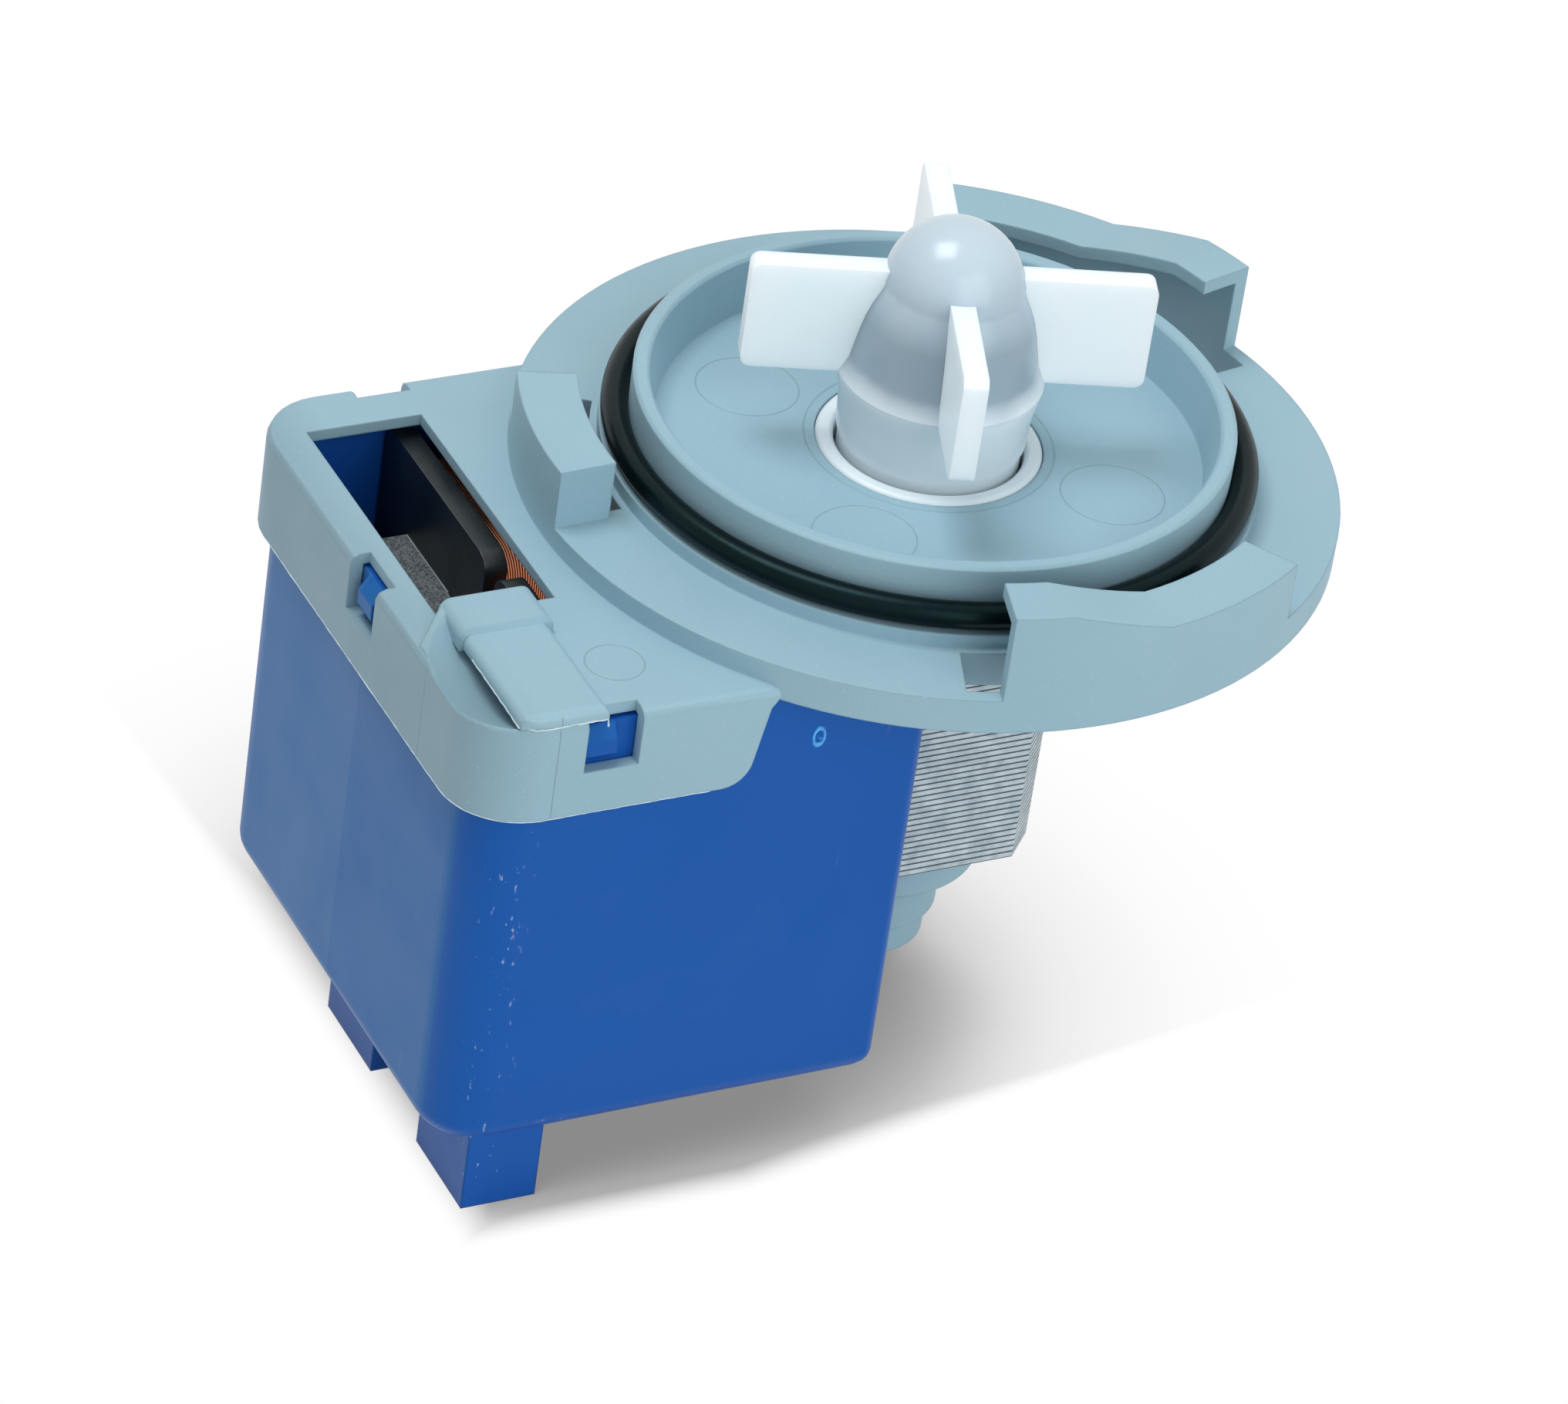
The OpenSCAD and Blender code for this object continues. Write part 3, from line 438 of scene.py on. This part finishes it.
set_inputs(tree, shader, {
    "Base Color": head_colour,
    "Roughness": mottle(tree, 90, 3, 0.46, 0.6),
    "Normal": bump(tree, marks, 0.00005, 1.0, grain),
    "IOR": 1.5,
})
finish_node(["head_moulding", "rotor_chamber"], head_finish)

# %% [markdown]
# ## Blue moulding
# The coil housing is a smooth blue plastic with a soft shine. Handling leaves short pale
# scratches, which run along the faces, faint greyish smudges, and small scuffs along the lower
# edge and the front corner. Scratches and scuffs are noise that is cut off near its peaks, and
# the scratches are stretched a lot in one direction. The end face carries a painted greenish
# sheen, with a paler painted reflection on its far half. A Bevel node rounds the edges in the
# shading.

# %% Scratches and scuffs
housing_low = -0.0512
low_edge_width = 0.0014
corner_x = -0.0479
corner_y = -0.0212
corner_width = 0.0036


def scratches(tree):
    thin = ramp(tree, noise(tree, 420, 2, (1, 1, 0.12)), [(0.72, 0), (0.77, 0.55)])
    patch = ramp(tree, noise(tree, 40, 2), [(0.52, 0), (0.62, 1)])
    return calculate(tree, "MULTIPLY", thin, patch)


def scuffs(tree):
    low_edge = peak(tree, distance(tree, axis_place(tree, "Z"), housing_low), low_edge_width)
    dx = calculate(tree, "SUBTRACT", axis_place(tree, "X"), corner_x)
    dy = calculate(tree, "SUBTRACT", axis_place(tree, "Y"), corner_y)
    front_corner = peak(tree, distance(tree, dx, dy), corner_width)
    worn = calculate(tree, "MAXIMUM", low_edge, front_corner)
    scuff = ramp(tree, noise(tree, 1700, 3, (1, 1, 0.5)), [(0.66, 0), (0.74, 0.7)])
    return calculate(tree, "MULTIPLY", scuff, worn)


print("worn zones: the edge at z =", housing_low, "and the corner at", (corner_x, corner_y))

# %% Blue moulding
end_face = -0.0571
reflection_half_from = 0.0003
blue_finish, tree, shader = new_finish("blue_moulding")
scratch = scratches(tree)
smudge = ramp(tree, noise(tree, 60, 5), [(0.6, 0), (0.85, 0.08)])
# painted sheen: a greenish tint on the end face, and a paler painted reflection on its far half
painted_end_sheen = calculate(tree, "LESS_THAN", axis_place(tree, "X"), end_face)
painted_reflection_half = calculate(tree, "MULTIPLY", painted_end_sheen,
                 calculate(tree, "GREATER_THAN", axis_place(tree, "Y"), reflection_half_from))
blue_colour = mottle(tree, 26, 3, "124ea3", "1854ab")
for amount, colour in ((scratch, "9fb4dc"), (scuffs(tree), "c3cfe4"), (smudge, "6f86a8"),
                       (calculate(tree, "MULTIPLY", painted_reflection_half, 0.07), "8fb0c4"),
                       (calculate(tree, "MULTIPLY", painted_end_sheen, 0.05), "10c860")):
    blue_colour = blend_colours(tree, amount, blue_colour, colour)
skin = bump(tree, noise(tree, 1500, 2), 0.00003, 0.35, rounded_normal(tree, 0.0005))
set_inputs(tree, shader, {
    "Base Color": blue_colour,
    "Roughness": mottle(tree, 70, 4, 0.34, 0.46),
    "Normal": bump(tree, scratch, 0.00003, 0.6, skin),
    "IOR": 1.5,
    "Specular IOR Level": 0.29,
    "Specular Tint": (0.3, 1.0, 0.78, 1),
})
finish_node(["coil_housing"], blue_finish)

# %% [markdown]
# ## Translucent impeller plastic
# The impeller is a natural, slightly bluish plastic that lets light in. Thin blades look
# bright, and the hub looks greyer where the dark hollow inside it shows through its wall.
# Subsurface scattering gives the glow, and a trace of emission is a painted glow that stands for
# the light that comes through the thin blades from behind. The hub's painted shade is a darker
# zone that follows the height.

# %% Impeller plastic
def glowing_plastic(name, rough):
    finish, tree, shader = new_finish(name)
    set_inputs(tree, shader, {
        "Subsurface Weight": 0.6,
        "Subsurface Radius": (1, 1, 1),
        "Subsurface Scale": 0.003,
        "IOR": 1.49,
        "Roughness": mottle(tree, 120, 3, rough, rough + 0.04),
        "Normal": bump(tree, noise(tree, 900, 2), 0.00002, 0.25),
    })
    return finish, tree, shader


impeller_finish, tree, shader = glowing_plastic("blade_plastic", 0.3)
set_inputs(tree, shader, {
    "Base Color": mottle(tree, 90, 3, "e9f6fd", "f2faff", (1, 1, 0.4)),
    "Emission Color": (0.86, 0.96, 1, 1),
    "Emission Strength": 0.07,
})
finish_node(["impeller"], impeller_finish)

# %% Hub plastic
hub_height = 0.03
hub_shade_tones = [(0.02, "dbe7ee"), (0.2, "e4eef4"), (0.32, "e6f0f5"), (0.4, "a2b4c0"),
             (0.54, "97aab6"), (0.66, "b6c8d3"), (0.84, "c0d1db")]
hub_finish, tree, shader = glowing_plastic("hub_plastic_painted_shade", 0.2)
# painted shade: the colour follows the height, darker across the cone where the hollow inside shows
# through
share = calculate(tree, "DIVIDE", axis_place(tree, "Z"), hub_height)
wavy = calculate(tree, "MULTIPLY", calculate(tree, "SUBTRACT", noise(tree, 160, 2), 0.5), 0.05)
hub_shaded_colour = ramp(tree, calculate(tree, "ADD", share, wavy), hub_shade_tones)
set_inputs(tree, shader, {"Base Color": hub_shaded_colour})
print(hub_finish.name, "made, for the hub's faces")

# %% [markdown]
# ## Black rubber
# The sealing ring is smooth black rubber. It shines softly, and it always carries a little
# dust, which is the only bright thing on it.

# %% Rubber
rubber_finish, tree, shader = new_finish("seal_rubber")
dust = ramp(tree, noise(tree, 1500, 2), [(0.76, 0), (0.84, 0.2)])
set_inputs(tree, shader, {
    "Base Color": blend_colours(tree, dust, mottle(tree, 120, 3, "020a0d", "061013"), "9a9a92"),
    "Roughness": mottle(tree, 400, 3, 0.24, 0.34),
    "Normal": bump(tree, noise(tree, 1800, 2), 0.00003, 0.4),
    "Specular IOR Level": 0.14,
    "Specular Tint": (0.45, 0.95, 1, 1),
})
finish_node(["flange_o_ring", "carrier_seal", "rear_bush_rubber", "coupling_damper"], rubber_finish)

# %% [markdown]
# ## The other plastics
# The bearing carrier is off-white and smooth. The bobbins are a dark glass-filled plastic,
# whose grain is coarser. The rotor's inner pieces are natural white. One recipe makes all of
# them: two close colours, a roughness and a grain.

# %% Carrier, bobbins and inner plastics
def grained_plastic(name, dark, light, rough, grain_scale, grain_depth):
    finish, tree, shader = new_finish(name)
    set_inputs(tree, shader, {
        "Base Color": mottle(tree, grain_scale * 0.12, 4, dark, light),
        "Roughness": mottle(tree, 180, 3, rough - 0.06, rough + 0.06),
        "Normal": bump(tree, noise(tree, grain_scale, 2), grain_depth, 0.5),
    })
    return finish


finish_node(["bearing_carrier"],
            grained_plastic("carrier_plastic", "dfecf1", "eaf3f6", 0.38, 1800, 0.00003))
finish_node(["front_bobbin", "back_bobbin"],
            grained_plastic("bobbin_plastic", "0b1418", "172126", 0.42, 1400, 0.00006))
finish_node(["rotor_sleeve", "front_end_plate", "rear_end_plate", "coupling_driver"],
            grained_plastic("rotor_plastic", "dcd8cb", "ece9df", 0.45, 1500, 0.00004))
finish_node(["thermal_cutout"],
            grained_plastic("cutout_ceramic", "cbc6b4", "ddd9ca", 0.6, 1200, 0.00005))
finish_node(["front_bush", "rear_bush"],
            grained_plastic("bush_carbon", "3a3936", "54524d", 0.55, 2200, 0.00004))

# %% [markdown]
# ## Laminated steel
# The core is a stack of thin sheets. Each sheet's sheared edge is pale, and the joints between
# the sheets are dark lines. The solid already has a fine groove at each joint, and the material
# darkens the same heights: the height is divided by the sheet's thickness, and what is left
# after the whole number says how far up its sheet a point is. The lines stay off the faces that
# look up or down, which are one sheet each.

# %% Laminations
sheet_thickness = 0.000676
joint_share = 0.14
upright_limit = 0.7
core_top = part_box("front_core_leg")[1][2]


def sheet_joints(tree):
    from_top = calculate(tree, "SUBTRACT", axis_place(tree, "Z"), core_top)
    part = calculate(tree, "FRACT", calculate(tree, "DIVIDE", from_top, sheet_thickness))
    from_joint = calculate(tree, "MINIMUM", part, calculate(tree, "SUBTRACT", 1, part))
    line = calculate(tree, "LESS_THAN", from_joint, joint_share)
    facing = tree.nodes.new("ShaderNodeSeparateXYZ")
    tree.links.new(tree.nodes.new("ShaderNodeNewGeometry").outputs["Normal"], facing.inputs[0])
    upward = calculate(tree, "ABSOLUTE", facing.outputs["Z"])
    return calculate(tree, "MULTIPLY", line, calculate(tree, "LESS_THAN", upward, upright_limit))


def sheet_steel(name, dark, light, rough, scale):
    finish, tree, shader = new_finish(name)
    shear = mottle(tree, scale, 3, dark, light)
    set_inputs(tree, shader, {
        "Base Color": blend_colours(tree, sheet_joints(tree), shear, "3f4a51"),
        "Metallic": 0.35,
        "Roughness": mottle(tree, 500, 3, rough - 0.08, rough + 0.08),
        "Normal": bump(tree, noise(tree, 2600, 3), 0.00005, 0.6),
    })
    return finish


finish_node(["front_core_leg", "back_core_leg"],
            sheet_steel("sheet_steel", "a2b1b8", "c5d1d6", 0.5, 700))
finish_node(["core_yoke"], sheet_steel("yoke_steel", "252c2f", "868f93", 0.5, 5200))

# %% [markdown]
# ## Copper
# The coils are enamelled wire, wound side by side. Seen close up, each turn is a small ridge.
# A wave texture along X gives the turns, both as a bump and as a darker gap between them, and
# noise makes the lay a little uneven. Towards the front, some emission stands for the lamp's
# glint, which falls into the cover's opening on the real pump.

# %% Coils
glint_from = 0.0098
glint_full = 0.0038
copper_finish, tree, shader = new_finish("enamelled_copper")
wave = tree.nodes.new("ShaderNodeTexWave")
wave.wave_type = "BANDS"
wave.bands_direction = "X"
set_inputs(tree, wave, {"Scale": 1250, "Distortion": 1.2, "Detail": 2, "Detail Scale": 0.4,
                        "Vector": place_of(tree)})
turns = wave.outputs["Fac"]
near_front = slope(tree, axis_place(tree, "Y"), glint_from, glint_full)
glint = ramp(tree, turns, [(0.1, "3a140a"), (0.55, "a64a28"), (0.9, "f2b08a")])
set_inputs(tree, shader, {
    "Base Color": ramp(tree, turns, [(0.05, "6a2c14"), (0.4, "c8683c"), (0.9, "ffc49e")]),
    "Emission Color": blend_colours(tree, near_front, 0, glint),
    "Emission Strength": 0.45,
    "Metallic": 0.4,
    "Roughness": 0.26,
    "Normal": bump(tree, turns, 0.00015, 0.9),
})
finish_node(["front_coil", "back_coil"], copper_finish)

# %% Bare wire
wire_finish, tree, shader = new_finish("bare_wire")
set_inputs(tree, shader, {
    "Base Color": mottle(tree, 500, 3, "a34a25", "c76a3c"),
    "Metallic": 0.85,
    "Roughness": 0.3,
    "Normal": bump(tree, noise(tree, 900, 2), 0.00003, 0.4),
})
finish_node(["coil_link_wire", "coil_leads"], wire_finish)

# %% [markdown]
# ## Metals of the rotor and the terminals
# The shaft is ground steel with fine rings round it, the magnet is dark ferrite, and the spade
# terminals are plated brass strip with rolling marks. Stretched noise gives rings and marks.

# %% Inner metals
def worked_metal(name, dark, light, metallic, rough, stretch):
    finish, tree, shader = new_finish(name)
    set_inputs(tree, shader, {
        "Base Color": mottle(tree, 300, 4, dark, light, stretch),
        "Metallic": metallic,
        "Roughness": mottle(tree, 400, 3, rough - 0.06, rough + 0.08, stretch),
        "Normal": bump(tree, noise(tree, 900, 2, stretch), 0.00003, 0.5),
    })
    return finish


finish_node(["rotor_shaft"], worked_metal("ground_steel", "b9bdc0", "d3d6d8", 1, 0.22, (1, 1, 8)))
finish_node(["front_thrust_washer", "rear_thrust_washer"],
            worked_metal("punched_steel", "a3a8ab", "c3c7ca", 1, 0.35, (1, 1, 1)))
finish_node(["rotor_magnet"], worked_metal("ferrite", "2a2d31", "3d4146", 0.2, 0.5, (1, 1, 4)))
finish_node(["front_terminal", "back_terminal"],
            worked_metal("plated_brass", "b9a562", "d6c588", 1, 0.3, (1, 1, 0.2)))

# %% [markdown]
# ## Softened edges
# A CAD solid has perfectly sharp edges, and a moulding never has. Each moulded piece is copied,
# its loose triangles are merged, flat neighbours are dissolved into whole faces, and a Bevel
# modifier rounds what is left. On the bobbins and the carrier the rounding is free, by up to
# 0.18 mm. On the head, the housing and the impeller, edges lie so close together that it has
# to hold back to a few hundredths, and the Bevel nodes in the head's and the housing's
# materials do the rest. A Weighted Normal modifier then lets the large faces set the shading,
# so that they stay flat up to the rounding. The copy takes the CAD node's place on its body,
# and the CAD node is hidden. The copy stands for the CAD node, which stays in the simulation.

# %% Softened copies
def soften(node_name, piece_name, body, width, hold_back=False):
    bpy.ops.object.select_all(action="DESELECT")
    original = nodes[node_name]
    original.select_set(True)
    bpy.context.view_layer.objects.active = original
    bpy.ops.object.duplicate()
    piece = bpy.context.object
    piece.name = piece_name
    piece.parent = None
    del piece["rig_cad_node"]
    bpy.ops.object.mode_set(mode="EDIT")
    bpy.ops.mesh.select_all(action="SELECT")
    bpy.ops.mesh.customdata_custom_splitnormals_clear()
    bpy.ops.mesh.remove_doubles(threshold=0.000004)
    bpy.ops.mesh.dissolve_limited(angle_limit=math.radians(1.0))
    bpy.ops.object.mode_set(mode="OBJECT")
    rounding = piece.modifiers.new("round_edges", "BEVEL")
    rounding.width = width
    rounding.segments = 2
    rounding.limit_method = "ANGLE"
    rounding.angle_limit = math.radians(30)
    rounding.use_clamp_overlap = hold_back
    rounding.harden_normals = False
    bpy.ops.object.modifier_apply(modifier=rounding.name)
    bpy.ops.object.shade_smooth_by_angle(angle=math.radians(40))
    evening = piece.modifiers.new("even_normals", "WEIGHTED_NORMAL")
    evening.mode = "FACE_AREA"
    evening.weight = 80
    evening.keep_sharp = True
    bpy.ops.object.modifier_apply(modifier=evening.name)
    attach(piece, body)
    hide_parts(node_name)
    print(piece_name, "faces:", len(piece.data.polygons))
    return piece


soften("head_moulding", "soft_head_moulding", "pump_body", 0.00018, True)
soften("coil_housing", "soft_coil_housing", "pump_body", 0.0003, True)
soft_impeller = soften("impeller", "soft_impeller", "impeller", 0.0003, True)
soften("bearing_carrier", "soft_bearing_carrier", "pump_body", 0.00018)
soften("front_bobbin", "soft_front_bobbin", "pump_body", 0.00015)
soften("back_bobbin", "soft_back_bobbin", "pump_body", 0.00015)

# %% [markdown]
# ## Two finishes on the impeller
# The blades and the hub are one moulding, but they look different, because shade inside the
# hollow hub shows through the hub's wall only. So the hub's faces get a second material, with
# that shade painted into its colour. A face belongs to the hub when its centre is no further
# from the axis than the hub's outline at that height.
# Before that, three rings of points under the dome move by 0.02 to 0.13 mm, which turns the
# crease there into a soft neck.

# %% Soft neck
hub_line = [(-0.006, 0.00885), (0.0025, 0.00885), (0.0033, 0.00915), (0.0067, 0.00935),
            (0.0093, 0.00985), (0.01, 0.01), (0.0107, 0.0096), (0.0117, 0.00915),
            (0.0133, 0.0089), (0.0149, 0.00855), (0.0165, 0.00815), (0.0179, 0.00765),
            (0.019, 0.00715), (0.0194, 0.0068), (0.0262, 0.0068)]
neck_shifts = {0.019: -0.00002, 0.01952: 0.00013, 0.02039: 0.00004}
ring_height = 0.00012
ring_reach = 0.0003


def hub_radius(z):
    for (z0, r0), (z1, r1) in zip(hub_line, hub_line[1:]):
        if z <= z1:
            return r0 + (r1 - r0) * (z - z0) / (z1 - z0)
    return hub_line[-1][1]


moved = 0
for vertex in soft_impeller.data.vertices:
    off_axis = math.hypot(vertex.co.x, vertex.co.y)
    for level, shift in neck_shifts.items():
        if abs(vertex.co.z - level) < ring_height and off_axis < hub_radius(level) + ring_reach:
            vertex.co.x *= 1 + shift / off_axis
            vertex.co.y *= 1 + shift / off_axis
            moved += 1
print("points moved at the neck:", moved)

# %% Hub faces
hub_margin = 0.0002
soft_impeller.data.materials.append(hub_finish)
hub_faces = 0
for face in soft_impeller.data.polygons:
    middle = face.center
    if math.hypot(middle.x, middle.y) < hub_radius(middle.z) + hub_margin:
        face.material_index = len(soft_impeller.data.materials) - 1
        hub_faces += 1
print("hub faces:", hub_faces, "of", len(soft_impeller.data.polygons))

# %% [markdown]
# ## Flash
# Where the halves of a mould meet, a thin pale fin of plastic is left. The photograph shows it
# along the tongue of the cable hook, where it ends in a small drip, and along the lower edge
# of the skirt. Each fin is a curve with a round section, with points that wander a little, and
# it is turned into a mesh.

# %% Flash helpers
flash_finish, tree, shader = new_finish("pale_flash")
set_inputs(tree, shader, {
    "Base Color": mottle(tree, 900, 2, "b4ccd6", "dfe9ec"),
    "Roughness": 0.5,
    "Normal": bump(tree, noise(tree, 2500, 2), 0.00003, 0.4),
})
chance = random.Random(7)


def fin(name, points, thickness, wander):
    bpy.ops.object.select_all(action="DESELECT")
    bpy.ops.curve.primitive_nurbs_path_add(location=(0, 0, 0))
    curve = bpy.context.object.data
    bpy.context.object.name = name
    curve.splines.clear()
    spline = curve.splines.new("POLY")
    spline.points.add(len(points) - 1)
    for knot, point in zip(spline.points, points):
        shift = [chance.uniform(-wander, wander) for _ in range(3)]
        knot.co = (point[0] + shift[0], point[1] + shift[1], point[2] + shift[2], 1)
        knot.radius = 0.75 + 0.5 * chance.random()
    curve.bevel_depth = thickness
    curve.bevel_resolution = 2
    curve.use_fill_caps = True
    bpy.ops.object.convert(target="MESH")
    piece = bpy.context.object
    bpy.ops.object.shade_smooth_by_angle(angle=math.radians(60))
    piece.data.materials.clear()
    piece.data.materials.append(flash_finish)
    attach(piece, "pump_body")
    print(name, "faces:", len(piece.data.polygons))


def between(start, end, count):
    return [tuple(a + (b - a) * i / count for a, b in zip(start, end)) for i in range(count + 1)]


print("flash finish:", flash_finish.name)

# %% Flash on the tongue
tongue_left = -0.05462
tongue_front = -0.02833
tongue_low = -0.00224
fin("tongue_side_flash", between((tongue_left, -0.0166, tongue_low + 0.0002),
                                 (tongue_left, -0.0274, tongue_low), 22), 0.00007, 0.00003)
fin("tongue_front_flash",
    between((tongue_left, -0.02745, tongue_low), (-0.0536, -0.02802, tongue_low), 4)
    + between((-0.0532, tongue_front, tongue_low), (-0.0462, tongue_front, tongue_low), 18)
    + between((-0.0461, tongue_front, tongue_low - 0.0002), (-0.0460, tongue_front, -0.0031), 3),
    0.00008, 0.00004)

# %% Flash on the skirt
head_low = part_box("head_moulding")[0]
skirt_left = head_low[0]
skirt_low = head_low[2] + 0.00004
skirt_front = -0.02825
skirt_proud = 0.00001


def skirt_corner(radius, steps):
    centre_x = skirt_left + radius
    centre_y = skirt_front + radius
    turns = [math.radians(180 + 90 * i / steps) for i in range(steps + 1)]
    return [(centre_x + radius * math.cos(turn), centre_y + radius * math.sin(turn), skirt_low)
            for turn in turns]


fin("skirt_flash",
    between((skirt_left - skirt_proud, 0.0205, skirt_low),
            (skirt_left - skirt_proud, -0.0205, skirt_low), 60)
    + skirt_corner(0.0071, 12)
    + between((-0.0510, skirt_front - skirt_proud, skirt_low),
              (-0.0345, skirt_front - skirt_proud, skirt_low), 26),
    0.00005, 0.00002)

# %% [markdown]
# ## The gate mark
# The blue housing carries the mark of its gate, where the plastic came into the mould: a bright
# ring with a nub. A torus, drawn out a little in height, gives the ring, and a short cone is
# joined to it as the nub.

# %% Gate mark
gate_place = (-0.0229, -0.0268, -0.0098)
facing_front = (math.radians(90), 0, 0)
gate_finish, tree, shader = new_finish("gate_blue")
set_inputs(tree, shader, {
    "Base Color": mottle(tree, 1800, 2, "1b7fd0", "4fb4f2"),
    "Roughness": 0.3,
    "Normal": bump(tree, noise(tree, 1500, 2), 0.00005, 0.6),
})
bpy.ops.object.select_all(action="DESELECT")
bpy.ops.mesh.primitive_torus_add(location=gate_place, rotation=facing_front,
                                 major_segments=28, minor_segments=10,
                                 major_radius=0.0006, minor_radius=0.00017)
gate_ring = bpy.context.object
gate_ring.scale = (0.95, 1.6, 1)
bpy.ops.mesh.primitive_cone_add(vertices=14, radius1=0.0003, radius2=0.00014, depth=0.0007,
                                location=gate_place, rotation=facing_front)
gate_ring.select_set(True)
bpy.context.view_layer.objects.active = gate_ring
bpy.ops.object.join()
gate_mark = bpy.context.object
gate_mark.name = "gate_mark"
bpy.ops.object.transform_apply(location=True, rotation=True, scale=True)
bpy.ops.object.shade_smooth_by_angle(angle=math.radians(50))
gate_mark.data.materials.append(gate_finish)
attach(gate_mark, "pump_body")
print("gate mark faces:", len(gate_mark.data.polygons))
